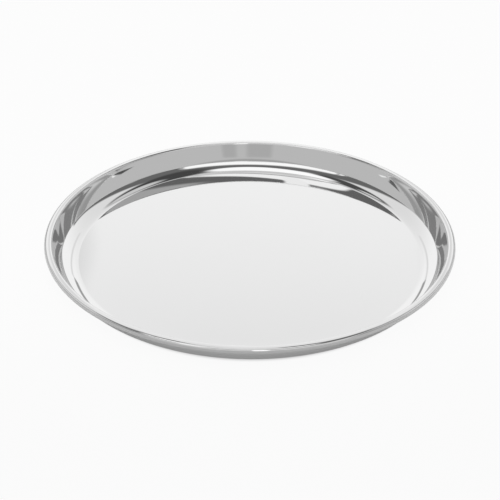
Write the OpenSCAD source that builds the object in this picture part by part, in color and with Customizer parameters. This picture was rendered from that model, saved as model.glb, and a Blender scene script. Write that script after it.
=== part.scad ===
// Round serving tray of polished stainless steel: one drawn and rolled pan, stiffened by a wire in its rim.
// The origin is at the centre of the underside, which stands on the table. Millimetres, Z up.

/* [Tray] */
// Diameter over the rolled rim
rim_d = 380; // [300:5:450]
// Height from the underside to the top of the rim
tray_h = 24.8; // [22:0.1:40]
// Thickness of the steel sheet
sheet = 0.8; // [0.6:0.1:1.2]

/* [Cove] */
// Inside radius of the first bend, at the edge of the flat floor
edge_r = 15; // [10:0.5:25]
// Slope at which this bend passes into the cove, in degrees
edge_slope = 13.5; // [8:0.5:18]
// Inside radius of the shallow cove
cove_r = 42; // [25:1:50]
// Slope at which the cove ends, in degrees
cove_slope = 31; // [24:0.5:34]

/* [Wall] */
// Inside radius of the tight bend between the cove and the wall
crease_r = 1; // [0.8:0.1:4]
// Slope of the wall at its foot, above the tight bend, in degrees
foot_slope = 63.5; // [55:0.5:66]
// Slope of the slightly hollow wall where it meets the lip, in degrees
wall_slope = 73.5; // [69:0.5:80]

/* [Rolled rim] */
// Radius of the bend from the wall out to the level lip, on the polished side
lip_r = 2.5; // [2:0.1:4]
// Gap between the roll at the edge of the lip and the back of the wall
roll_gap = 1.3; // [1:0.1:4]
// Diameter of the stiffening wire inside the roll
wire_d = 3.8; // [2:0.1:6]
// Gap between the wire and the sheet that is rolled round it
wire_gap = 0.05; // [0.02:0.01:0.2]
// Gap between the raw edge of the roll and the underside of the lip
seam_gap = 0.3; // [0.1:0.05:1]

/* [Hidden] */
$fn = 180;

// Largest turn between two points along a round stretch of the section, in degrees
arc_step = 4;

// The roll: the inner and outer face of the sheet lie on circles round the wire
roll_in_r = wire_d / 2 + wire_gap;
roll_out_r = roll_in_r + sheet;
roll_centre = [rim_d / 2 - roll_out_r, tray_h - roll_out_r];
// The level lip runs into the roll as a tangent, and the raw edge stops short of the lip's underside
roll_end = acos((roll_in_r - seam_gap) / roll_out_r) - 270;

// The wall ends behind the roll, and a bend centred below the sheet takes it out to the lip
wall_top = [roll_centre.x - roll_out_r - roll_gap - sheet, tray_h - lip_r * (1 - cos(wall_slope))];
lip_centre = wall_top + lip_r * [sin(wall_slope), -cos(wall_slope)];

// The other bends, cove and wall are arcs centred above the sheet, and the wall's fills the height left for it
cove_z = sheet + edge_r * (1 - cos(edge_slope));
crease_z = cove_z + cove_r * (cos(edge_slope) - cos(cove_slope));
foot_z = crease_z + crease_r * (cos(cove_slope) - cos(foot_slope));
hollow_r = (wall_top.y - foot_z) / (cos(foot_slope) - cos(wall_slope));
hollow_centre = wall_top + hollow_r * [-sin(wall_slope), cos(wall_slope)];
crease_centre = hollow_centre + (hollow_r - crease_r) * [sin(foot_slope), -cos(foot_slope)];
cove_centre = crease_centre + (crease_r - cove_r) * [sin(cove_slope), -cos(cove_slope)];
edge_centre = cove_centre + (cove_r - edge_r) * [sin(edge_slope), -cos(edge_slope)];

// Points along an arc of radius r, from one direction to another
function arc(centre, r, from, to) =
    let (steps = ceil(abs(to - from) / arc_step))
    [for (k = [0 : steps]) let (a = from + (to - from) * k / steps) centre + r * [cos(a), sin(a)]];

// One face of the sheet, from the centre of the floor to the raw edge of the roll
function face(height, depth, roll_r) = concat(
    [[0, height]],
    arc(edge_centre, edge_r + depth, -90, edge_slope - 90),
    arc(cove_centre, cove_r + depth, edge_slope - 90, cove_slope - 90),
    arc(crease_centre, crease_r + depth, cove_slope - 90, foot_slope - 90),
    arc(hollow_centre, hollow_r + depth, foot_slope - 90, wall_slope - 90),
    arc(lip_centre, lip_r - depth, wall_slope + 90, 90),
    arc(roll_centre, roll_r, 90, roll_end)
);

function backwards(points) = [for (k = [len(points) - 1 : -1 : 0]) points[k]];

// The pan: floor, cove, wall, lip and roll, all one sheet
module tray_pan() {
    color("silver")
    rotate_extrude()
    polygon(concat(face(sheet, 0, roll_out_r), backwards(face(0, sheet, roll_in_r))));
}

// The wire that the edge of the sheet is rolled round
module rim_wire() {
    color("dimgray")
    rotate_extrude()
    translate(roll_centre)
    circle(d = wire_d);
}

tray_pan();
rim_wire();
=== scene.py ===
import math

import bpy
from mathutils import Matrix, Vector


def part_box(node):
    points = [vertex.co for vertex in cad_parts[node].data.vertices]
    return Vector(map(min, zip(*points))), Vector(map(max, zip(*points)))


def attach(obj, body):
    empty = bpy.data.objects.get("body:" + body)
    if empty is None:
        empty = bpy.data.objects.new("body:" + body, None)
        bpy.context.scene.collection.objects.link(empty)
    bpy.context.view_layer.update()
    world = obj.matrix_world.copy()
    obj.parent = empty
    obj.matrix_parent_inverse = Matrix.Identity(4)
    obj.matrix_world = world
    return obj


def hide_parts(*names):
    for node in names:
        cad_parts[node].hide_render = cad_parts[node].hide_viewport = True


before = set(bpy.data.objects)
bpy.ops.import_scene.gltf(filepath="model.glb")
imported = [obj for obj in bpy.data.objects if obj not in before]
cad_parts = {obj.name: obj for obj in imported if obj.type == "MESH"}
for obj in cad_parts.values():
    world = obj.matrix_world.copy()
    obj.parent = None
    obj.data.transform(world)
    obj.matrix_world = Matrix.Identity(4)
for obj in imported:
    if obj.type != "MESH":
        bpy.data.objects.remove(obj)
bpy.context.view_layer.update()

print("frame loaded")


# a node's output that takes part in sums: each operator adds its own Math node
class Shade:
    def __init__(self, tree, socket=None):
        self.tree = tree
        self.socket = socket

    # any node: its type, its settings, which are set first, then the values or links of its sockets
    def node(self, kind, settings, inputs, output=0):
        made = self.tree.nodes.new(kind)
        for name, value in settings.items():
            setattr(made, name, value)
        for name, value in inputs.items():
            if isinstance(value, Shade):
                self.tree.links.new(value.socket, made.inputs[name])
            else:
                made.inputs[name].default_value = value
        return Shade(self.tree, made.outputs[output] if made.outputs else None)

    def maths(self, operation, first, second):
        return self.node("ShaderNodeMath", {"operation": operation}, {0: first, 1: second})

    def __add__(self, other):
        return self.maths("ADD", self, other)

    def __sub__(self, other):
        return self.maths("SUBTRACT", self, other)

    def __rsub__(self, other):
        return self.maths("SUBTRACT", other, self)

    def __mul__(self, other):
        return self.maths("MULTIPLY", self, other)

    def __truediv__(self, other):
        return self.maths("DIVIDE", self, other)

    __radd__ = __add__
    __rmul__ = __mul__

    # 0 below low, 1 above high, with a soft step between
    def step(self, low, high):
        settings = {"interpolation_type": "SMOOTHSTEP"}
        return self.node("ShaderNodeMapRange", settings, {"Value": self, "From Min": low, "From Max": high})

    # this value, moved towards another one where the mask is 1
    def towards(self, other, mask):
        return self + (other - self) * mask

    # noise between 0 and 1, turned into a change up and down
    def sway(self, span):
        return (self - 0.5) * span


def blankTree(owner):
    owner.use_nodes = True
    owner.node_tree.nodes.clear()
    return Shade(owner.node_tree)


def newMaterial(name, build):
    material = bpy.data.materials.new(name)
    start = blankTree(material)
    start.node("ShaderNodeOutputMaterial", {}, {"Surface": build(start)})
    return material


def objectPlace(start):
    return start.node("ShaderNodeTexCoord", {}, {}, "Object")


def outFromAxis(place):
    flat = place.node("ShaderNodeVectorMath", {"operation": "MULTIPLY"}, {0: place, 1: (1, 1, 0)})
    return place.node("ShaderNodeVectorMath", {"operation": "LENGTH"}, {0: flat}, "Value")


def noiseAt(place, scale, detail):
    return place.node("ShaderNodeTexNoise", {}, {"Vector": place, "Scale": scale, "Detail": detail})


# steel whose grey and roughness both follow the wear
def wornSteel(look, wear):
    inputs = {
        "Base Color": look["grey"] + wear.sway(look["greyRange"]),
        "Metallic": 1.0,
        "Roughness": look["roughness"] + wear.sway(look["roughRange"]),
    }
    return wear.node("ShaderNodeBsdfPrincipled", {}, inputs)


# tray: one sheet, drawn to a pan with a level lip, whose edge is rolled round a wire
tray = {
    "sheet": 0.0008,
    "wireGap": 0.00005,  # between the wire and the sheet
    "seamGap": 0.0003,  # between the raw edge and the underside of the lip
    "rollGap": 0.0013,  # between the roll and the back of the wall
    "lipRadius": 0.0025,
    "edgeRadius": 0.015,  # first bend, at the edge of the floor
    "edgeSlope": math.radians(13.5),
    "coveRadius": 0.042,
    "coveSlope": math.radians(31),
    "creaseRadius": 0.001,
    "footSlope": math.radians(63.5),
    "wallSlope": math.radians(73.5),
    "turnStep": math.radians(1.5),  # along the floor's bends and the wall
    "rollStep": math.radians(5),  # along the lip and the roll
    "around": 360,
    "floorRings": 8,
    "sharpAngle": math.radians(40),
}


def pointing(angle):
    return Vector((math.cos(angle), math.sin(angle)))


def arcPoints(centre, radius, start, end, step):
    count = math.ceil(abs(end - start) / step)
    return [centre + radius * pointing(start + (end - start) * k / count) for k in range(count + 1)]


# both faces of the sheet as points out from the axis and up, from the floor to the raw edge under the lip
def trayFaces():
    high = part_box("tray_pan")[1]
    wireLow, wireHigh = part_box("rim_wire")
    quarter = math.pi / 2
    rollIn = (wireHigh.z - wireLow.z) / 2 + tray["wireGap"]
    rollOut = rollIn + tray["sheet"]
    rollCentre = Vector((high.x - rollOut, high.z - rollOut))
    rollEnd = math.acos((rollIn - tray["seamGap"]) / rollOut) - 3 * quarter
    # the wall ends behind the roll, and a bend takes it out to the lip
    steep = tray["wallSlope"]
    bend = tray["lipRadius"]
    bendStart = steep + quarter
    wallTop = Vector((rollCentre.x - rollOut - tray["rollGap"] - tray["sheet"],
                      high.z - bend + bend * math.cos(steep)))
    bendCentre = wallTop - bend * pointing(bendStart)
    # the hollow wall fills the height that the bends below it leave
    slopes = [0, tray["edgeSlope"], tray["coveSlope"], tray["footSlope"], steep]
    radii = [tray["edgeRadius"], tray["coveRadius"], tray["creaseRadius"]]
    rises = [math.cos(a) - math.cos(b) for a, b in zip(slopes, slopes[1:])]
    left = wallTop.y - tray["sheet"] - sum(r * rise for r, rise in zip(radii, rises))
    radii.append(left / rises[-1])
    # the centres of two arcs that meet lie on one line with the joint
    centres = [wallTop - radii[-1] * pointing(steep - quarter)]
    for k in (2, 1, 0):
        centres.insert(0, centres[0] + (radii[k + 1] - radii[k]) * pointing(slopes[k + 1] - quarter))

    def face(height, depth, roll):
        rings = tray["floorRings"]
        points = [Vector((centres[0].x * k / rings, height)) for k in range(1, rings)]
        for k, centre in enumerate(centres):
            ends = slopes[k] - quarter, slopes[k + 1] - quarter
            points += arcPoints(centre, radii[k] + depth, *ends, tray["turnStep"])[k > 0:]
        points += arcPoints(bendCentre, bend - depth, bendStart, quarter, tray["rollStep"])[1:]
        return points + arcPoints(rollCentre, roll, quarter, rollEnd, tray["rollStep"])

    return face(tray["sheet"], 0, rollOut), face(0, tray["sheet"], rollIn)


# the closed section turned round the axis, with a fan of triangles at the middle of each face
def latheMesh(name, top, under):
    loop = top + under[::-1]
    around = tray["around"]
    corners = [(0, 0, top[0][1]), (0, 0, under[0][1])]
    for k in range(around):
        c = math.cos(2 * math.pi * k / around)
        s = math.sin(2 * math.pi * k / around)
        corners += [(r * c, r * s, z) for r, z in loop]
    count = len(loop)
    polygons = []
    for k in range(around):
        here = 2 + k * count
        there = 2 + (k + 1) % around * count
        polygons.append((0, here, there))
        polygons.append((1, there + count - 1, here + count - 1))
        for i in range(count - 1):
            polygons.append((here + i, here + i + 1, there + i + 1, there + i))
    mesh = bpy.data.meshes.new(name)
    mesh.from_pydata(corners, [], polygons)
    mesh.validate()
    mesh.shade_smooth()
    mesh.set_sharp_from_angle(angle=tray["sharpAngle"])
    return mesh


# polished sheet: a mirror with faint rings from the polishing wheel
polish = {"grey": 0.90, "greyRange": 0.02, "roughness": 0.035, "roughRange": 0.03,
          "ringScale": 900, "ringDetail": 3, "cloudScale": 14, "cloudDetail": 4}


def polishedSheet(start):
    place = objectPlace(start)
    spacing = {"W": outFromAxis(place), "Scale": polish["ringScale"], "Detail": polish["ringDetail"]}
    rings = start.node("ShaderNodeTexNoise", {"noise_dimensions": "1D"}, spacing)
    cloud = noiseAt(place, polish["cloudScale"], polish["cloudDetail"])
    return wornSteel(polish, (rings + cloud) / 2)


topFace, underFace = trayFaces()
pan = bpy.data.objects.new("pan", latheMesh("pan", topFace, underFace))
bpy.context.scene.collection.objects.link(pan)
pan.data.materials.append(newMaterial("polishedSheet", polishedSheet))
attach(pan, "root")
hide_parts("tray_pan")
print("pan built, points round the section:", len(topFace) + len(underFace))

# rim wire: dull drawn steel, with lines along its length
drawn = {"grey": 0.42, "greyRange": 0.12, "roughness": 0.38, "roughRange": 0.14,
         "lineScale": 2600, "lineDetail": 2}


def drawnWire(start):
    place = objectPlace(start)
    height = start.node("ShaderNodeSeparateXYZ", {}, {0: place}, "Z")
    section = start.node("ShaderNodeCombineXYZ", {}, {"X": outFromAxis(place), "Y": height})
    return wornSteel(drawn, noiseAt(section, drawn["lineScale"], drawn["lineDetail"]))


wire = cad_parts["rim_wire"]
wire.data.materials.clear()
wire.data.materials.append(newMaterial("drawnWire", drawnWire))
print("wire dressed")

# floor: pale board, greyer in front as painted shade that the steel mirrors; the camera sees it near white,
# apart from the shadow under the tray, real in the diffuse part and deepened by painted shadow in the lift
board = {
    "half": 12.0,
    "drop": 0.0002,  # below the underside of the tray
    # back and front greys: the darker front is painted shade, which the steel mirrors as a dimmer floor in
    # front
    "back": 0.92,
    "front": 0.50,
    "turn": (-0.30, 0.05),  # where the grey in front gives way to the pale back
    "grainScale": 6,
    "grainDetail": 3,
    "grainRange": 0.01,
    "openLift": 0.94,
    # painted shadow: the lift under the tray, and the radii over which it rises to the open lift
    "paintedShadowLift": 0.25,
    "paintedShadowEdge": (0.165, 0.173),
    "glossyLift": 0.10,
}


def paleBoard(start):
    place = objectPlace(start)
    along = start.node("ShaderNodeSeparateXYZ", {}, {0: place}, "Y")
    grain = noiseAt(place, board["grainScale"], board["grainDetail"])
    # greyer in front: painted shade for the steel to mirror
    grey = board["front"] + along.step(*board["turn"]) * (board["back"] - board["front"])
    diffuse = start.node("ShaderNodeBsdfDiffuse", {}, {"Color": grey + grain.sway(board["grainRange"])})
    glow = start.node("ShaderNodeEmission", {}, {"Strength": 1.0})
    camera = start.node("ShaderNodeLightPath", {}, {}, "Is Camera Ray")
    glossy = start.node("ShaderNodeLightPath", {}, {}, "Is Glossy Ray")
    through = start.node("ShaderNodeLightPath", {}, {}, "Is Transmission Ray")
    # the camera's lift falls to a lower level under the tray: a painted shadow on top of the real one
    clear = outFromAxis(place).step(*board["paintedShadowEdge"])
    cameraLiftWithPaintedShadow = board["paintedShadowLift"] + clear * (board["openLift"] - board["paintedShadowLift"])
    lift = camera * cameraLiftWithPaintedShadow + (glossy + through) * board["glossyLift"]
    return start.node("ShaderNodeMixShader", {}, {0: lift, 1: diffuse, 2: glow})


half = board["half"]
floorCorners = [(-half, -half, 0), (half, -half, 0), (half, half, 0), (-half, half, 0)]
floorMesh = bpy.data.meshes.new("floor")
floorMesh.from_pydata(floorCorners, [], [(0, 1, 2, 3)])
floor = bpy.data.objects.new("floor", floorMesh)
floor.location.z = -board["drop"]
floor.data.materials.append(newMaterial("paleBoard", paleBoard))
bpy.context.scene.collection.objects.link(floor)
print("floor laid")

# studio: grey walls and a paler ceiling; heights here are the sine of the elevation
room = {
    "lean": math.radians(0.6),  # tilt of the whole studio
    "wall": 0.52,
    "ceiling": 0.68,
    "rise": (0.38, 0.42),  # where the walls pass into the ceiling
    "cornice": 0.36,
    "corniceUp": (0.38, 0.43, 0.48, 0.53),  # where it begins, is full, fades and is gone
    "corniceEnd": (-0.4, -0.1),  # along y, where it ends at the sides
    "sweepLow": 0.97,
    "sweepFall": 0.20,
    "sweepUp": (0.40, 0.72),
    "least": 0.001,  # nothing is divided by less
}


# 1 inside a panel's edge and 0 outside, from the square of the distance in half sizes
def inside(square, blur):
    return 1 - square.step((1 - blur) ** 2, (1 + blur) ** 2)


# the light with a panel over it: its shape, level, centre, half sizes, turn in degrees and soft edge
def layPanel(light, across, along, panel):
    shape, level, centre, half, turn, soft = panel
    c = math.cos(math.radians(turn))
    s = math.sin(math.radians(turn))
    x = across - centre[0]
    y = along - centre[1]
    u = x * (c / half[0]) + y * (s / half[0])
    v = y * (c / half[1]) - x * (s / half[1])
    if shape == "round":
        return light.towards(level, inside(u * u + v * v, soft))
    edge = soft * min(half)
    return light.towards(level, inside(u * u, edge / half[0]) * inside(v * v, edge / half[1]))


def buildStudio(world):
    start = blankTree(world)
    level = start.node("ShaderNodeTexCoord", {}, {}, "Generated")
    turned = {"Vector": level, "Angle": -room["lean"]}
    direction = start.node("ShaderNodeVectorRotate", {"rotation_type": "X_AXIS"}, turned)
    x, y, z = (start.node("ShaderNodeSeparateXYZ", {}, {0: direction}, axis) for axis in "XYZ")
    above = z.maths("MAXIMUM", z, room["least"])
    ahead = y.maths("MAXIMUM", 0 - y, room["least"])

    # the walls, the ceiling and the dark cornice in front
    light = room["wall"] + z.step(*room["rise"]) * (room["ceiling"] - room["wall"])
    low, full, fading, gone = room["corniceUp"]
    cornice = z.step(low, full) * (1 - z.step(fading, gone)) * (1 - y.step(*room["corniceEnd"]))
    light = light.towards(room["cornice"], cornice)

    # what hangs from the ceiling, in metres on a ceiling one metre up, with +y behind the tray
    bank = [  # the light bank, in its dark housing
        ("round", 0.42, (0.05, 0.20), (0.80, 0.75), 0, 0.05),
        ("round", 0.14, (-0.14, 0.12), (0.70, 0.72), 0, 0.05),
        ("round", 1.05, (-0.12, -0.03), (0.46, 0.37), 0, 0.05),
        ("round", 1.00, (-0.38, -0.40), (0.10, 0.20), -45, 0.20),
        ("round", 0.40, (-0.06, 0.06), (0.39, 0.34), 0, 0.03),
        ("round", 1.05, (-0.06, 0.07), (0.36, 0.32), 0, 0.03),
        ("round", 0.66, (-0.03, -0.10), (0.30, 0.13), 0, 0.40),
    ]
    white = room["sweepLow"] - z.step(*room["sweepUp"]) * room["sweepFall"]
    sweep = [  # the white sweep behind, with its dark edge and stripes
        ("round", 0.14, (0, 1.40), (0.98, 1.18), 0, 0.04),
        ("square", 0.35, (0, 31.40), (1.15, 30), 0, 0.04),
        ("square", white, (0, 31.40), (1.05, 30), 0, 0.04),
        ("round", white, (-0.04, 1.40), (0.82, 0.94), 0, 0.05),
        ("square", 0.35, (-0.41, 3.60), (0.05, 1.10), 4, 0.50),
        ("square", 0.35, (0.37, 3.60), (0.05, 1.10), -4, 0.50),
        ("square", 0.76, (-0.33, 2.00), (0.035, 0.60), 3, 0.60),
        ("square", 0.76, (0.35, 2.00), (0.035, 0.60), -3, 0.60),
    ]
    stands = [  # a small lamp between two dark stands
        ("round", 0.60, (0, 0.95), (0.16, 0.20), 0, 0.30),
        ("round", 0.07, (-0.21, 0.72), (0.08, 0.28), 0, 0.25),
        ("round", 0.60, (-0.21, 0.87), (0.03, 0.07), 0, 0.40),
        ("round", 0.06, (0.20, 0.68), (0.13, 0.34), 0, 0.25),
        ("round", 0.62, (0.21, 0.84), (0.06, 0.18), 0, 0.30),
        ("round", 1.08, (-0.04, 0.58), (0.12, 0.19), 20, 0.15),
    ]
    flags = []  # dark flags at the sides and behind
    for side in (-1, 1):
        flags += [
            ("square", 0.26, (1.50 * side, -0.28), (0.55, 0.35), 25 * side, 0.10),
            ("square", 0.25, (2.20 * side, 0.55), (0.20, 0.45), 0, 0.10),
            ("square", 0.20, (2.90 * side, 4.60), (0.35, 1.30), -32 * side, 0.30),
        ]
    horizon = [  # far flags and lamps, just over the horizon
        ("square", 0.12, (-32, 1.2), (18, 1.2), 0, 0.30),
        ("square", 0.08, (26, -2.6), (14, 1.0), 0, 0.30),
        ("square", 0.90, (-24, -1.8), (10, 0.3), 0, 0.80),
        ("square", 0.90, (30, -0.8), (12, 0.3), 0, 0.80),
    ]
    facing = [  # two dark panels and a tall lamp on the wall in front, one metre away
        ("square", 0.43, (-0.095, 0.25), (0.13, 0.16), 0, 0.30),
        ("square", 0.43, (0.23, 0.25), (0.07, 0.16), 0, 0.50),
        ("square", 1.30, (0.12, 1.17), (0.08, 0.55), 0, 0.30),
    ]
    hung = bank + sweep + stands + flags + horizon
    for panels, across, along in ((hung, x / above, y / above), (facing, x / ahead, z / ahead)):
        for panel in panels:
            light = layPanel(light, across, along, panel)

    # the camera sees plain white behind the floor
    camera = start.node("ShaderNodeLightPath", {}, {}, "Is Camera Ray")
    shown = {"Color": light.towards(1.0, camera), "Strength": 1.0}
    background = start.node("ShaderNodeBackground", {}, shown)
    start.node("ShaderNodeOutputWorld", {}, {"Surface": background})


world = bpy.data.worlds.new("studio")
bpy.context.scene.world = world
buildStudio(world)

# key lamp: in front and above, for the board and the soft shadow on it; the steel doesn't mirror it
lamp = {"size": 0.9, "place": Vector((0, -1.0, 1.5)), "power": 5.0}
lampData = bpy.data.lights.new("keyLamp", "AREA")
lampData.shape = "DISK"
lampData.size = lamp["size"]
lampData.energy = lamp["power"]
keyLamp = bpy.data.objects.new("keyLamp", lampData)
keyLamp.location = lamp["place"]
keyLamp.rotation_euler = lamp["place"].to_track_quat("Z", "Y").to_euler()
keyLamp.visible_glossy = False
bpy.context.scene.collection.objects.link(keyLamp)
print("studio lit")

# camera: in front, looking down, a touch askew as in the photo
view = {
    "distance": 1.058,
    "elevation": math.radians(31.65),
    "pivot": -0.0045,  # height on the axis that distance and elevation start from
    "aim": Vector((0.0002, 0, 0.0015)),
    "lens": 80.4,
    "roll": math.radians(0.47),
    "nearest": 0.01,
}
away = Vector((0, -math.cos(view["elevation"]), math.sin(view["elevation"])))
eye = Vector((0, 0, view["pivot"])) + away * view["distance"]
backward = (eye - view["aim"]).normalized()
right = Vector((0, 0, 1)).cross(backward).normalized()
turn = Matrix((right, backward.cross(right), backward)).transposed().to_4x4()
cameraData = bpy.data.cameras.new("camera")
cameraData.lens = view["lens"]
cameraData.clip_start = view["nearest"]
camera = bpy.data.objects.new("camera", cameraData)
camera.matrix_world = Matrix.Translation(eye) @ turn @ Matrix.Rotation(view["roll"], 4, "Z")
bpy.context.scene.collection.objects.link(camera)
bpy.context.scene.camera = camera
bpy.context.scene.view_settings.view_transform = "Standard"
print("camera set")
